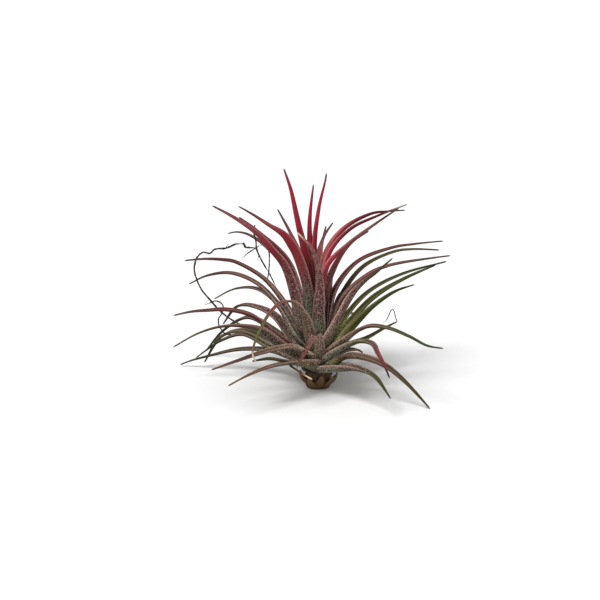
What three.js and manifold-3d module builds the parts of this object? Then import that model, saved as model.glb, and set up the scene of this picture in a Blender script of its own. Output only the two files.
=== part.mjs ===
// A sky plant: an air plant whose narrow channelled leaves grow as a rosette from a short woody stem.
// Millimetres, +Z up. The origin is on the ground, in the middle of the stem's flat foot.
// The plant's front faces -Y, and +X is on its right as it is seen from there.
import * as THREE from "three";
import { mergeVertices } from "three/addons/utils/BufferGeometryUtils.js";
import Module from "manifold-3d";

const wasm = await Module();
wasm.setup();

// Driving dimensions
const CROWN_HEIGHT = 7; // middle of the lowest leaf bases, above the ground
const EYE_DISTANCE = 480; // from the crown to the eye that the leaf rows are written for
const EYE_ELEVATION = THREE.MathUtils.degToRad(15); // how far that eye looks down
const EYE_AIM = [-5.4, 19.2]; // across and up from the crown to the point that it looks at
const CLEARANCE = 0.3; // between one node and the next
const THINNEST = 0.62; // least thickness of a leaf and of a root

// Stem, with the dry remains of old leaf bases round it
const STEM_OUTLINE = [
  [3.4, 0],
  [3.7, 0.6],
  [3.2, 2.2],
  [3.9, 3.6],
  [3.6, 5.4],
]; // radius, height
const STEM_SIDES = 14;
const SCALE_COUNT = 9;
const SCALE_WIDTH = 3.4;
const SCALE_PATH = [
  [2.2, 0.9],
  [3.9, 1.7],
  [5.2, 3],
  [5.9, 4.5],
]; // radius, height of a scale's middle, from its root to its tip
const SCALE_STEPS = 4;
const SCALE_LIFT = 0.55; // how much higher every second scale sits

// Leaves
const LEAF_STEPS = 13;
const LEAF_TAPER = 0.8; // power of the narrowing from base to tip
const TIP_WIDTH = 0.7;
const CHANNEL_DEPTH = 0.46; // depth of a leaf's section over its width
const LEAF_THICKNESS = 0.26; // thickness in the groove over the width
const KEEL_WIDTH = 0.55; // width of the flat under a leaf over its whole width
const KEEL_DROP = 0.7; // how much of a section's depth lies below its line
const SHEATH_END = 0.35; // share of a leaf that clasps the stem
const SHEATH_FLARE = 0.35; // how much wider the sheath is

// The core of the rosette, that each tier of leaves is rooted in: a slice of this outline each
const CORE_OUTLINE = [
  [5.0, 5.7],
  [5.2, 9],
  [4.7, 12],
  [3.8, 15],
  [2.6, 18],
  [1.0, 20.5],
]; // radius, height
const CORE_SIDES = 16;
const ROOTING_DEPTH = 0.55; // where a leaf starts, as a share of the core's radius

// Each leaf is a row: its width at the base or its widths as [share of its length, width], how far in
// degrees its back is turned to the front, then the points that its middle passes through from base to
// tip. A point is written as the leaf is seen from the front: across and up from the crown, and how far
// behind the stem it lies (negative in front of it).
const HEART_LEAVES = [
  [3.7, 40, [[-1.5, 19.2, -1], [-3.3, 30.6, -2], [-6.1, 42.6, -4], [-8.2, 52, -6], [-10.35, 58.8, -7]]],
  [2.9, 0, [[-1.5, 19.2, -0.5], [-2.4, 34.2, -1], [-2.5, 43.2, -2], [-1.4, 54, -3]]],
  [3.5, 0, [[-0.6, 19.2, -0.5], [-1.1, 34.2, -1], [0.2, 46.2, -2], [2.35, 55.4, -3], [2.6, 57.4, -3]]],
  [2.8, 0, [[-0.3, 19.2, 4], [-0.3, 30.6, 10], [1.65, 37.7, 16], [4.55, 42.5, 20]]],
  [2.4, 0, [[0.3, 19.2, 2], [0.6, 29.7, 7], [1.25, 36.2, 11], [2.45, 41.5, 14]]],
  [2.6, 0, [[-2.7, 19.2, 3], [-5.2, 32.4, 9], [-8.5, 39.5, 14], [-12.2, 46.5, 19]]],
  [2.8, 0, [[-1.5, 19.2, 5], [-2.2, 29, 12], [-3.2, 34, 18], [-4.8, 37, 24]]],
];
const UPPER_LEAVES = [
  [[[0, 4.4], [0.35, 3.2], [0.64, 3.2], [0.78, 1.4], [1, 0.3]], 50,
    [[-2.4, 13.2, -4], [-3.1, 21.3, -7], [-4.7, 28, -9], [-7.2, 34.3, -11], [-10.4, 38.8, -12],
      [-15, 41.8, -12], [-19.6, 44.8, -11], [-24.1, 47.4, -10]]],
  [[[0, 4.4], [0.3, 4], [0.4, 3.6], [0.48, 2.9], [0.64, 2.1], [0.82, 1.4], [1, 0.3]], 0,
    [[0.1, 10.2, -7], [0.1, 16, -8.8], [0.3, 20.7, -10], [0, 28.4, -12], [-2.1, 34.8, -13],
      [-6.3, 39.6, -14]]],
  [4.7, 40, [[-5, 11.7, -5], [-6.9, 20.1, -7], [-10.2, 29.6, -10], [-13.8, 34.2, -12], [-17.6, 38.5, -13],
    [-21.3, 41.4, -14], [-26.2, 44.5, -14], [-31.9, 47.6, -14]]],
  [3.9, 25, [[-4.3, 16.2, -1], [-6.4, 25.2, -1], [-8.9, 31.1, -1], [-12.4, 35.1, -1], [-16.8, 38.9, -1],
    [-20.4, 41.8, -0.5], [-23.9, 44.2, 0]]],
  [3.2, 0, [[-5.4, 16.2, 5], [-9.3, 28.2, 9], [-15.8, 35.4, 13], [-21.3, 39, 17], [-24.6, 39.6, 18.5],
    [-27.2, 39.1, 20]]],
  [[[0, 4.8], [0.35, 3.6], [0.69, 2.3], [0.76, 1.9], [0.89, 1], [1, 0.3]], 15,
    [[0.6, 20.7, 2], [1.9, 32.4, 5], [7.3, 40.5, 9], [15.6, 45.1, 12], [21, 45.8, 14], [26.4, 46.15, 15]]],
  [3.9, 20, [[1.1, 22.2, -3], [3.5, 33.7, -3], [9.7, 40.6, -3], [17.9, 44.5, -2], [27, 48, -1]]],
  [3.8, 20, [[0.9, 19.2, -6], [2.9, 29.8, -8], [8.9, 35.9, -8], [16.8, 41.8, -7], [24.5, 46.9, -6]]],
  [3.6, 0, [[1.8, 15.6, 4], [3.15, 24.3, 10], [6.3, 31.6, 15], [10.2, 36.5, 20], [15.3, 39.9, 24]]],
  [4.0, 0, [[-0.6, 15, 7], [-0.4, 24, 15], [0.4, 30, 23], [0.6, 33, 31]]],
  [3.8, 0, [[-3.6, 14, 7], [-6.4, 23, 15], [-9.6, 29.5, 23], [-12.4, 32.4, 31]]],
  [3.4, 0, [[1.6, 14, 7], [2.8, 22.5, 15], [4.6, 28.4, 24], [6.4, 31.5, 32]]],
];
const MIDDLE_LEAVES = [
  [3.8, 0, [[-5.4, 10.8, 3], [-9.6, 18, 5], [-16.05, 25.7, 6], [-24.85, 30.7, 5], [-28.5, 31.3, 4],
    [-33.9, 31.5, 2], [-40.2, 31, 1]]],
  [3.8, 0, [[-6.3, 8.7, -2], [-11.3, 17, -1], [-18, 24.1, 1], [-25.8, 27.35, 3], [-33.2, 26.6, 6],
    [-38.8, 23.9, 8]]],
  [2.8, 0, [[-6.6, 10.2, 8], [-12.6, 18.6, 14], [-18.35, 22.6, 19], [-24.6, 22.7, 24], [-31.2, 19.5, 30]]],
  [3.1, 0, [[2.5, 11.7, 4], [5.2, 22.6, 8], [11.7, 30.65, 12], [22.2, 34.95, 16], [28.8, 36, 18],
    [37.8, 36.9, 20]]],
  [2.5, 0, [[3.6, 10.2, 8], [7.2, 20.7, 14], [13.5, 29.1, 19], [23.1, 33.75, 24], [28.5, 34.4, 26],
    [36.6, 34.2, 28]]],
  [3.0, 0, [[3, 8.7, -2], [7.6, 20.4, -2], [15.3, 27.2, -2], [20.5, 29.4, -2], [25.2, 30.5, -2],
    [32, 31.5, -2], [39.9, 32.5, -2]]],
  [[[0, 4.6], [0.22, 3.6], [0.38, 2.7], [0.6, 2.6], [0.8, 1.5], [1, 0.3]], 0,
    [[3, 7.8, -7], [4.6, 10.8, -8.8], [7.1, 15.6, -12], [10.9, 21.9, -16], [14.5, 25.4, -18],
      [17.1, 27.2, -19], [22.5, 31.8, -22]]],
  [3.8, 0, [[-1.5, 10, 8], [-2.4, 18, 18], [-3.3, 23, 28], [-4.2, 24.6, 38]]],
  [3.8, 0, [[1.5, 10, 8], [2.7, 18, 18], [3.6, 23.4, 28], [4.2, 25.5, 38]]],
  [3.2, 0, [[3.4, 9, 7], [4.6, 14.5, 13], [5.6, 18.6, 20], [6.5, 21.4, 26]]],
  [3.6, 0, [[-4.8, 9.6, 8], [-8.9, 14.8, 18], [-12.6, 18.7, 28], [-16, 21, 37]]],
];
const LOWER_LEAVES = [
  [[[0, 4.8], [0.2, 4.3], [0.32, 3.4], [0.42, 2.2], [0.55, 1.5], [0.85, 0.9], [1, 0.4]], 0,
    [[-2.4, 7.8, -10], [-4.1, 14.7, -15], [-7.4, 18.7, -19], [-11.2, 18.4, -23], [-13.5, 16.4, -25],
      [-16.3, 12.3, -28], [-19.6, 3.4, -31], [-18.5, 0.4, -31]]],
  [4.1, 0, [[-5.4, 4.2, -3], [-12.6, 9.3, -6], [-19.8, 14.7, -9], [-27.3, 16.4, -12], [-33, 16.15, -13.4],
    [-38, 15.7, -15], [-43.5, 14.5, -16]]],
  [4.4, 0, [[-6.3, 5.7, 7], [-12.6, 14.1, 14], [-18.3, 17.2, 20], [-23.9, 17.5, 25], [-28.5, 11.9, 30]]],
  [[[0, 5.2], [0.45, 3.6], [0.64, 1.7], [1, 0.3]], 30,
    [[-4.8, 2.1, -6], [-11.4, 6.2, -10], [-18.3, 10.9, -14], [-28.2, 11.4, -19], [-35.9, 9.2, -22],
      [-43.6, 5, -24]]],
  [2.7, 0, [[3.6, 5.7, 4], [8.4, 14.4, 9], [15, 21.6, 13], [25.2, 27, 17], [38.7, 30.8, 20]]],
  [3.9, 0, [[3.6, 5.1, 1], [9.6, 12.9, 2], [17, 20.4, 4], [25.8, 25.6, 6], [35.4, 29.7, 8]]],
  [5.0, 15, [[4.2, 4.2, -2], [10.4, 11.5, -4], [16.4, 17.45, -6], [23.15, 21.9, -8], [29.05, 23.85, -9]]],
  [[[0, 4.8], [0.25, 3.6], [0.42, 2.2], [0.7, 1.45], [0.92, 0.8], [1, 0.3]], 0,
    [[3, 3.6, -6], [7.5, 7.3, -10], [14.75, 11.4, -15], [20.8, 10.9, -18], [27.1, 8.4, -21],
      [32.7, 5.5, -23.5], [37.8, 4.6, -25]]],
  [3.8, 0, [[0, 6, 8], [0.6, 12.6, 19], [1.2, 15.6, 30], [1.5, 15, 41]]],
  [3.8, 0, [[-3.9, 6, 8], [-7.2, 11.1, 19], [-9.6, 13.2, 30], [-11.4, 11.7, 41]]],
  [3.8, 0, [[3.6, 6, 8], [6.6, 12, 18], [9, 15, 29], [11, 15.3, 40]]],
  [3.2, 0, [[4.5, 4.8, 6], [9.9, 11.2, 15], [14.2, 15.6, 25], [16.9, 18, 33]]],
];
const BASAL_LEAVES = [
  [4.4, 0, [[-6.6, 2.4, 4], [-15, 7.2, 9], [-22.5, 10.1, 13], [-29, 8.3, 17], [-34.1, 0.4, 20]]],
  [3.6, 0, [[-6.6, 1.8, 0], [-15, 5.4, 2], [-22.5, 9, 4], [-29.3, 7, 6], [-36.7, 1.8, 8]]],
  [3.6, 0, [[-6, 3.6, 8], [-13.8, 10.5, 15], [-21, 14.1, 21], [-27.9, 10.5, 26], [-33.9, 3.6, 31]]],
  [3.2, 0, [[-5.4, 1.2, 5], [-14.4, 4.2, 10], [-23.4, 4.5, 14], [-33, 2.4, 17], [-38.2, 1, 19],
    [-41.5, -0.3, 20]]],
  [3.5, 0, [[-1.2, 2.1, -7], [-6.9, 5.2, -12], [-15, 4, -17], [-23.4, 1.2, -22], [-32.1, -1.8, -27]]],
  [4.0, 0, [[-3, -0.3, -9], [-9, 0.7, -14], [-14.4, 1.6, -18], [-19.8, 0.8, -21]]],
  [[[0, 6], [0.2, 5.8], [0.3, 4.6], [0.42, 2.4], [0.6, 1.7], [1, 0.3]], 20,
    [[-1.5, 0.6, -9], [-4.2, 0.9, -12], [-7.8, 0.6, -15], [-14.4, -0.7, -21], [-20.4, -3.1, -26],
      [-27, -6.6, -31]]],
  [[[0, 2.2], [0.45, 0.9], [0.55, 0.6], [0.72, 0.6], [0.78, 0.9], [1, 0.4]], 0,
    [[-3.6, -0.3, -9], [-8.4, -0.4, -13.6], [-7.2, -1.3, -15.2], [-4.8, -2.9, -17.4], [-1.7, -4.7, -20]]],
  [[[0, 4], [0.4, 3.6], [0.5, 3], [0.6, 1.9], [0.75, 1.5], [0.9, 1.3], [1, 0.3]], 0,
    [[0.2, 3, -8], [0.1, 6.5, -11], [-0.5, 8.8, -13.5], [-2.1, 6.6, -18], [-4.4, 2.7, -22],
      [-6.4, -1.2, -24.5]]],
  [3.4, 0, [[3.6, 3, 4], [9.6, 6, 8], [14.7, 7.9, 12], [19.5, 10.55, 15], [23.8, 12.7, 18]]],
  [[[0, 4.8], [0.3, 3.3], [0.5, 2.5], [0.7, 2], [0.85, 1.3], [1, 0.3]], 0,
    [[3, 2.1, -8], [8.1, 5.4, -14], [12.1, 6.9, -18], [15.3, 6.6, -21.4], [16.7, 5.7, -22.6],
      [17.8, 3.4, -24], [19.5, 0.3, -26], [21.5, -4.4, -29]]],
  [4.4, 0, [[3.6, 0, -7], [6.2, 1.6, -9], [9, 2.6, -10.8], [14.1, 2.1, -13.5], [20.2, -0.4, -16.5],
    [26.2, -5.4, -19], [33.6, -13.5, -21.5]]],
  [[[0, 6], [0.3, 5.6], [0.37, 5], [0.46, 3.9], [0.58, 2.5], [0.7, 1.75], [0.85, 1.2], [1, 0.3]], 0,
    [[2.1, -0.9, -8], [7.2, -0.7, -14], [12.5, -1.4, -20], [17.1, -3.9, -25], [21.8, -10.5, -31]]],
  [4.2, 0, [[4.2, 2.2, 7], [8.4, 4.2, 12], [11.5, 4.4, 15], [13.4, 3.4, 18]]],
  [3.6, 0, [[1.5, 3, 9], [4.2, 7.8, 20], [6.9, 8.7, 31], [8.4, 5.7, 41]]],
  [3.6, 0, [[-2.4, 3, 9], [-5.4, 7.5, 20], [-8.7, 8.4, 31], [-11.4, 5.4, 41]]],
  [3.2, 0, [[5, 3.4, 6], [10.2, 8.8, 14], [14.8, 11.2, 22], [18.8, 11.4, 30]]],
];

// The wiry roots. Each is a row of the same kind of points, from its thick end to its tip.
const ROOT_RADIUS = 0.34;
const ROOT_SIDES = 5;
const ROOT_STEP = 1.8; // length of one section
const LOOP_ROOT = [
  [[-4.5, 2.4, 0], [-10.2, 5.7, -0.5], [-12.6, 7.8, -1], [-15, 9, -2], [-18, 10.2, -1], [-21.3, 11.1, 1],
    [-24, 12.2, 3], [-27.3, 14.2, 4], [-29.8, 16.3, 4], [-32.7, 19.6, 4], [-34.8, 22.1, 4],
    [-36.4, 25.4, 4], [-37.1, 28.2, 4], [-36.9, 30.3, 5], [-36.2, 32.1, 5], [-34.5, 33.5, 5],
    [-32.4, 33.2, 5], [-31, 34.4, 5], [-27.9, 34.7, 5], [-26.6, 35.1, 5], [-24.9, 35.9, 5],
    [-22.4, 36.1, 5], [-21.8, 35.1, 5], [-20, 34.9, 4.7], [-18.2, 34.8, 4.4]],
  [[-19, 41.6, 3], [-19.2, 39.3, 4], [-18.6, 36.6, 4.5], [-18.5, 34.8, 4.5], [-17.6, 32.4, 5.5],
    [-16.5, 30.3, 6.5], [-14.8, 27.5, 8], [-13.4, 24.8, 9], [-12.6, 22.9, 10]],
  [[-15.3, 34.8, 3], [-14.7, 33.6, 4], [-14.6, 30.6, 6], [-14.8, 27.5, 8], [-15.1, 25.5, 9],
    [-15, 23.3, 10]],
  [[-18.5, 34.7, 4.5], [-17.8, 35.4, 4], [-16.7, 35.7, 3.5]],
  [[-18.6, 34.8, 4.5], [-21, 33.3, 4], [-22.9, 31.5, 3.5]],
  [[-17.7, 32.6, 5.4], [-18, 31.6, 5], [-18, 30.8, 5]],
  [[-27.7, 34.8, 5], [-26.8, 36.1, 4.5]],
];
const CURL_ROOT = [
  [[-4.5, 1.2, 3], [-9.6, 2.8, 4.3], [-15, 5.3, 5.8], [-22.5, 8.7, 7.5], [-27.6, 9, 8], [-29.1, 10.5, 7],
    [-29.8, 11.9, 6], [-29.8, 13.6, 6], [-28.9, 15.1, 6], [-28.4, 16.8, 6], [-28.8, 18, 7], [-29.8, 18.7, 8],
    [-30.9, 18.9, 8], [-32.5, 18.3, 8], [-34.1, 17.7, 8]],
];

// Tiers from the heart outwards. low and high are the heights of the tier's slice of the core.
const TIERS = [
  { name: "heart_leaves", color: 0x7a2436, low: 16.6, high: 20.5, rows: HEART_LEAVES },
  { name: "upper_leaves", color: 0x8a3b48, low: 13.9, high: 16.3, rows: UPPER_LEAVES },
  { name: "middle_leaves", color: 0x7c4f50, low: 11.2, high: 13.6, rows: MIDDLE_LEAVES },
  { name: "lower_leaves", color: 0x756a55, low: 8.5, high: 10.9, rows: LOWER_LEAVES },
  { name: "basal_leaves", color: 0x7d8058, low: 5.7, high: 8.2, rows: BASAL_LEAVES },
];
const LEAF_ROUGHNESS = 0.75;
const WOOD_COLOR = 0x5a4433;
const WOOD_ROUGHNESS = 0.9;
const ROOTS = [
  { name: "root_loop", rows: LOOP_ROOT },
  { name: "root_curl", rows: CURL_ROOT },
];
const ROOT_COLOR = 0x2f2b27;

const UP = new THREE.Vector3(0, 0, 1);

// A point of a leaf row in the plant's own frame: on the ray from the eye through (across, up) on the
// screen that stands at the crown, at the given depth.
const SCREEN_UP = new THREE.Vector3(0, Math.sin(EYE_ELEVATION), Math.cos(EYE_ELEVATION));
const SIGHT = new THREE.Vector3(0, Math.cos(EYE_ELEVATION), -Math.sin(EYE_ELEVATION));
const CROWN = new THREE.Vector3(0, 0, CROWN_HEIGHT);
const EYE = onScreen(EYE_AIM).addScaledVector(SIGHT, -EYE_DISTANCE);

function onScreen([across, up]) {
  return new THREE.Vector3(across, 0, 0).addScaledVector(SCREEN_UP, up).add(CROWN);
}

function seenPoint([across, up, away]) {
  const ray = onScreen([across, up]).sub(EYE);
  return EYE.clone().addScaledVector(ray, (away - EYE.y) / ray.y);
}

// The value at x on the straight lines between points of [x, value]
function valueAt(points, x) {
  for (let i = 1; i < points.length; i++) {
    const [x0, value0] = points[i - 1];
    const [x1, value1] = points[i];
    if (x <= x1) return value0 + ((value1 - value0) * Math.max(x - x0, 0)) / (x1 - x0);
  }
  return points.at(-1)[1];
}

// A closed solid from a list of points and a list of triangles that share them
function solidFrom(points, triangles) {
  const vertProperties = new Float32Array(points.flatMap((p) => [p.x, p.y, p.z]));
  const triVerts = new Uint32Array(triangles.flat());
  return new wasm.Manifold(new wasm.Mesh({ numProp: 3, vertProperties, triVerts }));
}

// A closed solid from a three.js geometry
function solidFromGeometry(geometry) {
  const bare = geometry.clone();
  bare.deleteAttribute("normal");
  bare.deleteAttribute("uv");
  const merged = mergeVertices(bare, 1e-4);
  const place = merged.getAttribute("position");
  const points = [];
  for (let i = 0; i < place.count; i++) {
    points.push(new THREE.Vector3().fromBufferAttribute(place, i));
  }
  const index = merged.index.array;
  const triangles = [];
  for (let i = 0; i < index.length; i += 3) {
    const [a, b, c] = [index[i], index[i + 1], index[i + 2]];
    if (a !== b && b !== c && c !== a) triangles.push([a, b, c]);
  }
  return solidFrom(points, triangles);
}

// Sweeps a section along a line of points. The section at t is a list of [across, over], anticlockwise as
// seen from the tip, and the last ring closes in a point at the line's end. `side` is the first across.
function sweep(line, side, sectionAt) {
  const last = line.length - 1;
  const points = [];
  const triangles = [];
  let across = side.clone();
  let sides = 0;
  for (let i = 0; i < last; i++) {
    const ahead = line[i + 1].clone().sub(line[Math.max(i - 1, 0)]).normalize();
    across = across.addScaledVector(ahead, -across.dot(ahead)).normalize();
    const over = ahead.clone().cross(across);
    const section = sectionAt(i / last);
    sides = section.length;
    for (const [a, o] of section) {
      points.push(line[i].clone().addScaledVector(across, a).addScaledVector(over, o));
    }
    if (i === 0) continue;
    const ring = i * sides;
    for (let k = 0; k < sides; k++) {
      const next = (k + 1) % sides;
      triangles.push([ring - sides + k, ring - sides + next, ring + next]);
      triangles.push([ring - sides + k, ring + next, ring + k]);
    }
  }
  const tip = points.push(line[last].clone()) - 1;
  const ring = (last - 1) * sides;
  for (let k = 0; k < sides; k++) triangles.push([ring + k, ring + ((k + 1) % sides), tip]);
  for (let k = 1; k < sides - 1; k++) triangles.push([0, k + 1, k]);
  return solidFrom(points, triangles);
}

// A leaf's width at a share of its length, from its width at the base or from its row's widths
function widthAt(wide, t) {
  if (Array.isArray(wide)) return Math.max(valueAt(wide, t), TIP_WIDTH);
  const sheath = SHEATH_FLARE * Math.max(0, 1 - t / SHEATH_END) ** 2;
  return TIP_WIDTH + (wide - TIP_WIDTH) * ((1 - t) ** LEAF_TAPER + sheath);
}

// The section of a leaf: a channel with a rounded keel, two edges and a groove on its upper face
function leafSection(width, grow) {
  const depth = Math.max(width * CHANNEL_DEPTH, THINNEST);
  const thick = Math.max(width * LEAF_THICKNESS, THINNEST);
  const half = width / 2 + grow;
  const keel = -KEEL_DROP * depth - grow;
  const edge = (1 - KEEL_DROP) * depth + grow;
  const groove = keel + thick + 2 * grow;
  return [
    [0, groove],
    [-half, edge],
    [-half * KEEL_WIDTH, keel],
    [half * KEEL_WIDTH, keel],
    [half, edge],
  ];
}

function coreRadius(height) {
  return valueAt(
    CORE_OUTLINE.map(([radius, z]) => [z, radius]),
    height,
  );
}

// A round solid from its outline of [radius, height], from the bottom to the top
function turned(outline, sides) {
  const profile = outline.map(([r, z]) => new THREE.Vector2(r, z));
  const closed = [new THREE.Vector2(0, outline[0][1]), ...profile, new THREE.Vector2(0, outline.at(-1)[1])];
  const geometry = new THREE.LatheGeometry(closed, sides);
  geometry.rotateX(Math.PI / 2);
  return solidFromGeometry(geometry);
}

function coreSlice(low, high, grow) {
  const middle = (low + high) / 2;
  return turned(
    [low - grow, middle, high + grow].map((z) => [coreRadius(z) + grow, z]),
    CORE_SIDES,
  );
}

// The level direction across a leaf that reaches that way, once its back is turned to the front
function acrossLeaf(reach, turnedDegrees) {
  const { clamp, degToRad, euclideanModulo } = THREE.MathUtils;
  const away = Math.atan2(reach.y, reach.x);
  const toFront = euclideanModulo(Math.PI / 2 - away, 2 * Math.PI) - Math.PI;
  const most = degToRad(turnedDegrees);
  const facing = away + clamp(toFront, -most, most);
  return new THREE.Vector3(-Math.sin(facing), Math.cos(facing), 0);
}

function leafSolid([wide, turnedDegrees, row], rootHeight, grow) {
  const seen = row.map(seenPoint);
  const turn = Math.atan2(seen[0].y, seen[0].x);
  const reach = coreRadius(rootHeight) * ROOTING_DEPTH;
  const root = new THREE.Vector3(reach * Math.cos(turn), reach * Math.sin(turn), rootHeight);
  const curve = new THREE.CatmullRomCurve3([root, ...seen], false, "centripetal");
  const line = curve.getSpacedPoints(LEAF_STEPS);
  const side = acrossLeaf(seen.at(-1).clone().sub(root), turnedDegrees);
  return sweep(line, side, (t) => leafSection(widthAt(wide, t), grow));
}

function tierSolid({ low, high, rows }, grow) {
  const parts = [coreSlice(low, high, grow)];
  for (const row of rows) parts.push(leafSolid(row, (low + high) / 2, grow));
  return wasm.Manifold.union(parts);
}

function stemSolid(grow) {
  const grown = STEM_OUTLINE.map(([radius, height]) => [radius + grow, height]);
  const parts = [turned(grown, STEM_SIDES)];
  for (let i = 0; i < SCALE_COUNT; i++) {
    const turn = (2 * Math.PI * i) / SCALE_COUNT;
    const outwards = new THREE.Vector3(Math.cos(turn), Math.sin(turn), 0);
    const lift = (i % 2) * SCALE_LIFT;
    const path = SCALE_PATH.map(([r, z]) => outwards.clone().multiplyScalar(r).setZ(z + lift));
    const line = new THREE.CatmullRomCurve3(path).getSpacedPoints(SCALE_STEPS);
    const side = UP.clone().cross(outwards);
    parts.push(sweep(line, side, (t) => leafSection(widthAt(SCALE_WIDTH, t), grow)));
  }
  return wasm.Manifold.union(parts);
}

// A round wire of even thickness along a row of points, which ends in a point
function rootSolid(row) {
  const curve = new THREE.CatmullRomCurve3(row.map(seenPoint), false, "centripetal");
  const line = curve.getSpacedPoints(Math.ceil(curve.getLength() / ROOT_STEP));
  const ring = [];
  for (let k = 0; k < ROOT_SIDES; k++) {
    const turn = (2 * Math.PI * k) / ROOT_SIDES;
    ring.push([ROOT_RADIUS * Math.cos(turn), ROOT_RADIUS * Math.sin(turn)]);
  }
  return sweep(line, SIGHT, () => ring);
}

// The largest body of a solid that a cut left in several
function mainBody(solid) {
  return solid.decompose().reduce((a, b) => (b.volume() > a.volume() ? b : a));
}

function meshOf(name, color, roughness, solid) {
  const { vertProperties, triVerts } = solid.getMesh();
  const geometry = new THREE.BufferGeometry();
  geometry.setAttribute("position", new THREE.BufferAttribute(vertProperties, 3));
  geometry.setIndex(new THREE.BufferAttribute(triVerts, 1));
  geometry.computeVertexNormals();
  const material = new THREE.MeshStandardMaterial({ color, roughness, metalness: 0 });
  const mesh = new THREE.Mesh(geometry, material);
  mesh.name = name;
  return mesh;
}

// Each node keeps clear of those before it: where they would cross, it gives way to them.
const plant = new THREE.Group();
let taken = new wasm.Manifold(new wasm.Mesh({ numProp: 3, vertProperties: [], triVerts: [] }));

function place(name, color, roughness, solid, grown) {
  plant.add(meshOf(name, color, roughness, mainBody(solid.subtract(taken))));
  taken = taken.add(grown);
}

for (const tier of TIERS) {
  place(tier.name, tier.color, LEAF_ROUGHNESS, tierSolid(tier, 0), tierSolid(tier, CLEARANCE));
}
place("stem", WOOD_COLOR, WOOD_ROUGHNESS, stemSolid(0), stemSolid(CLEARANCE));
for (const root of ROOTS) {
  const solid = wasm.Manifold.union(root.rows.map(rootSolid));
  place(root.name, ROOT_COLOR, WOOD_ROUGHNESS, solid, solid);
}

export default plant;
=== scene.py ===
"""The looks of a sky plant, an air plant whose narrow channelled leaves grow as a rosette.

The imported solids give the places. The leaves and roots are rebuilt here along the same lines with finer
sections, colours that run from base to tip, the fine grey scales that cover such leaves, a barked stem and
dry wiry roots. Rows are in millimetres, +Z is up, and the plant's front faces -Y.
"""

import math

import bpy
import numpy as np
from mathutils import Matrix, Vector


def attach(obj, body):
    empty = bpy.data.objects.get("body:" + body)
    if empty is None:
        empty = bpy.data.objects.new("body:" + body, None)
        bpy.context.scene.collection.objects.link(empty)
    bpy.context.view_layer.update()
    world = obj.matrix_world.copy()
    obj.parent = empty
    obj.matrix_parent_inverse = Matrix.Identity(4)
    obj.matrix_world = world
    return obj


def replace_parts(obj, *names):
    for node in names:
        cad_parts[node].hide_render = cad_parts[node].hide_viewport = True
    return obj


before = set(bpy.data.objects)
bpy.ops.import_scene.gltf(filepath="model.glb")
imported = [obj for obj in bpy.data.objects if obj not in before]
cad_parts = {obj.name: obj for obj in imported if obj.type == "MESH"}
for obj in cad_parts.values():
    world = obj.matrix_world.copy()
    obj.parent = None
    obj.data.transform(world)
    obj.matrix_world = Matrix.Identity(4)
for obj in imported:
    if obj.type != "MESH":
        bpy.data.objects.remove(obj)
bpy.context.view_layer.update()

MM = 0.001

# The eye that the rows of leaves are written for, which is also the camera's place
CROWN_HEIGHT = 7.0
EYE_DISTANCE = 480.0
EYE_ELEVATION = math.radians(15)
EYE_AIM = (-5.4, 19.2)
SCREEN_WIDTH = 180.0  # what the camera takes in at the crown
SENSOR_WIDTH = 36.0
LINE_SAMPLES = 40  # between two points of a row, to measure the curve through them

# Leaves
LEAF_STEPS = 72
SECTION_POINTS = 11  # on each face of a leaf, from edge to edge
LEAF_TAPER = 0.8
TIP_WIDTH = 0.38
CHANNEL_DEPTH = 0.46  # share of a leaf's width
LEAST_DEPTH = 0.8 * TIP_WIDTH
LEAF_THICKNESS = 0.2  # share of a leaf's width
LEAST_THICKNESS = 0.3  # or the leaf's width, where that is less
EDGE_THICKNESS = 0.1
KEEL_POWER = 3.0
KEEL_DROP = 0.7  # how much of a section's depth lies below its line
SHEATH_END = 0.35  # share of a leaf's length over which its base is wider
SHEATH_FLARE = 0.35  # and how much wider it is where the leaf starts
ROOTING_DEPTH = 0.55  # share of the core's radius at which a leaf's line starts

# How a leaf departs from its row: by waves to the side, up and down and in width, and in its brightness
WAVE_CYCLES = (1.3, 2.6, 4.7)  # in the length of a leaf or root
SWAY = 0.04
NOD = 0.6 * SWAY
BREADTH_WAVE = 0.05
TINT_SPREAD = 0.08
TINT_LIMITS = (0.85, 1.15)

# A leaf's skin
RIM_WIDTH = 0.34  # the pale line along each edge
RIM_SHARE = 0.2  # and at most this share of the leaf's half width
SCALY_SHARE = 0.6  # a leaf with grey scales up to here or further has its edge lines at full strength
SCALY_POWER = 0.7  # under 1, so the scales thin out slowly at first
LEAF_SHIFT = 3.7  # between the patterns of one leaf and the next
FACE_SHIFT = 1.9  # and between those of a leaf's two faces

CORE_OUTLINE = [(5.0, 5.7), (5.2, 9), (4.7, 12), (3.8, 15), (2.6, 18), (1.0, 20.5)]  # radius, height
CORE_SIDES = 48
CORE_RINGS = 5  # in a tier's slice of the core

# The stem, and the dry remains of old leaf bases that stand round it like scales. The stem's outline and
# the path of a scale are points of (radius, height).
STEM_OUTLINE = [(3.4, 0), (3.7, 0.6), (3.2, 2.2), (3.9, 3.6), (3.6, 5.4)]
STEM_SIDES = 64
STEM_RINGS = 14
STEM_SEED = 7
SCALE_COUNT = 9
SCALE_STEPS = 24
SCALE_WIDTH = 3.4
SCALE_WIDTH_SPREAD = 0.08
SCALE_PATH = [(2.2, 0.9), (3.9, 1.7), (5.2, 3), (5.9, 4.5)]
SCALE_LIFT = 0.55  # every other one sits this much higher

# The studio
FLOOR_HALF = 20.0  # metres
FLOOR_WHITE = (0.76, 0.76, 0.76, 1)
SKY_WHITE = (1, 1, 1, 1)
SKY_STRENGTH = 0.6
# Each sun: its name, its strength, how wide it is in degrees, and the way that it shines
SUNS = [
    ("key", 3.0, 25, (0.45, 0.5, -1.0)),
    ("front", 0.2, 60, (0.1, 1.0, -0.4)),
]

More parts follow.
